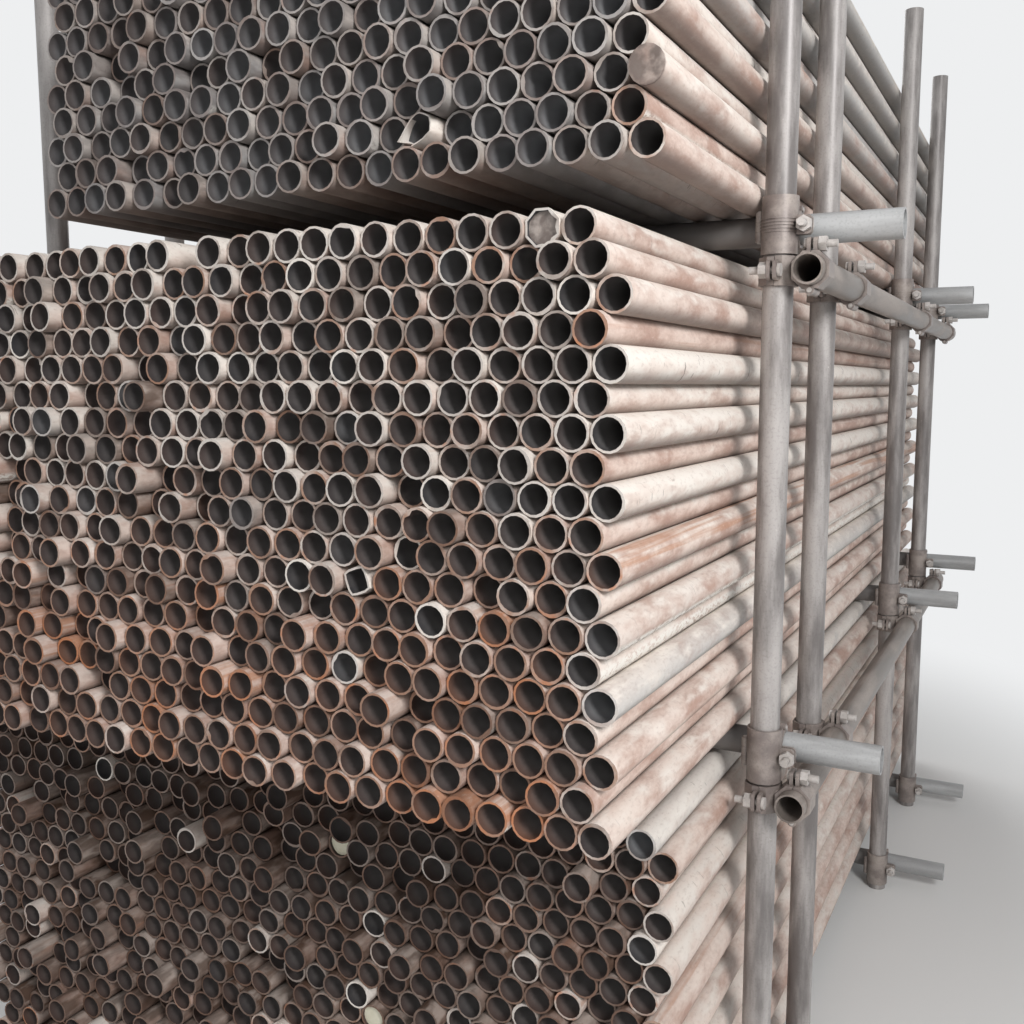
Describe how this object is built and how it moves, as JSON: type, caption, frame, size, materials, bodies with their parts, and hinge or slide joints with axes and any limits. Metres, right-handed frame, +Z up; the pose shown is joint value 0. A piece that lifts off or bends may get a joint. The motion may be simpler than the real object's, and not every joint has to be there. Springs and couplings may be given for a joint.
{
  "type": "stack of steel tubes",
  "caption": "Rusty steel scaffold tubes stacked in three tiers on a rack of coupled scaffold tube, open ends to the front.",
  "frame": {"origin": "on the floor, under the middle of the whole rack's box", "axes": "+Z up from the floor, +Y along the tubes from their front ends to their back ends, +X to the right as seen from the front"},
  "size_m": [2.0028, 3.3348, 2.5],
  "materials": {
    "rusty_tube_steel": "rusty and dusty mill scale",
    "dusty_tube_steel": "dull weathered zinc with dust",
    "galvanised_tube_steel": "galvanised, clean",
    "forged_coupler_steel": "forged, dusty zinc and light rust",
    "bolt_steel": "zinc plated, dusty"
  },
  "bodies": {
    "root": {"lower_row_01": "rusty_tube_steel", "lower_row_02": "rusty_tube_steel", "lower_row_03": "rusty_tube_steel", "lower_row_04": "rusty_tube_steel", "lower_row_05": "rusty_tube_steel", "lower_row_06": "rusty_tube_steel", "lower_row_07": "rusty_tube_steel", "lower_row_08": "rusty_tube_steel", "lower_row_09": "rusty_tube_steel", "lower_row_10": "rusty_tube_steel", "lower_row_11": "rusty_tube_steel", "lower_row_12": "rusty_tube_steel", "lower_row_13": "rusty_tube_steel", "lower_row_14": "rusty_tube_steel", "lower_row_15": "rusty_tube_steel", "lower_row_16": "rusty_tube_steel", "lower_row_17": "rusty_tube_steel", "lower_row_18": "rusty_tube_steel", "middle_row_01": "rusty_tube_steel", "middle_row_02": "rusty_tube_steel", "middle_row_03": "rusty_tube_steel", "middle_row_04": "rusty_tube_steel", "middle_row_05": "rusty_tube_steel", "middle_row_06": "rusty_tube_steel", "middle_row_07": "rusty_tube_steel", "middle_row_08": "rusty_tube_steel", "middle_row_09": "rusty_tube_steel", "middle_row_10": "rusty_tube_steel", "middle_row_11": "rusty_tube_steel", "middle_row_12": "rusty_tube_steel", "middle_row_13": "rusty_tube_steel", "middle_row_14": "rusty_tube_steel", "middle_row_15": "rusty_tube_steel", "middle_row_16": "rusty_tube_steel", "middle_row_17": "rusty_tube_steel", "middle_row_18": "rusty_tube_steel", "middle_row_19": "rusty_tube_steel", "top_row_01": "rusty_tube_steel", "top_row_02": "rusty_tube_steel", "top_row_03": "rusty_tube_steel", "top_row_04": "rusty_tube_steel", "top_row_05": "rusty_tube_steel", "top_row_06": "rusty_tube_steel", "top_row_07": "rusty_tube_steel", "top_row_08": "rusty_tube_steel", "top_row_09": "rusty_tube_steel", "top_row_10": "rusty_tube_steel", "top_row_11": "rusty_tube_steel", "top_row_12": "rusty_tube_steel", "top_row_13": "rusty_tube_steel", "uprights": "dusty_tube_steel", "ledgers": "dusty_tube_steel", "transoms": "galvanised_tube_steel", "coupler_bodies": "forged_coupler_steel", "coupler_flaps": "forged_coupler_steel", "coupler_pins": "bolt_steel", "coupler_bolts": "bolt_steel", "coupler_nuts": "bolt_steel"}
  },
  "joints": []
}
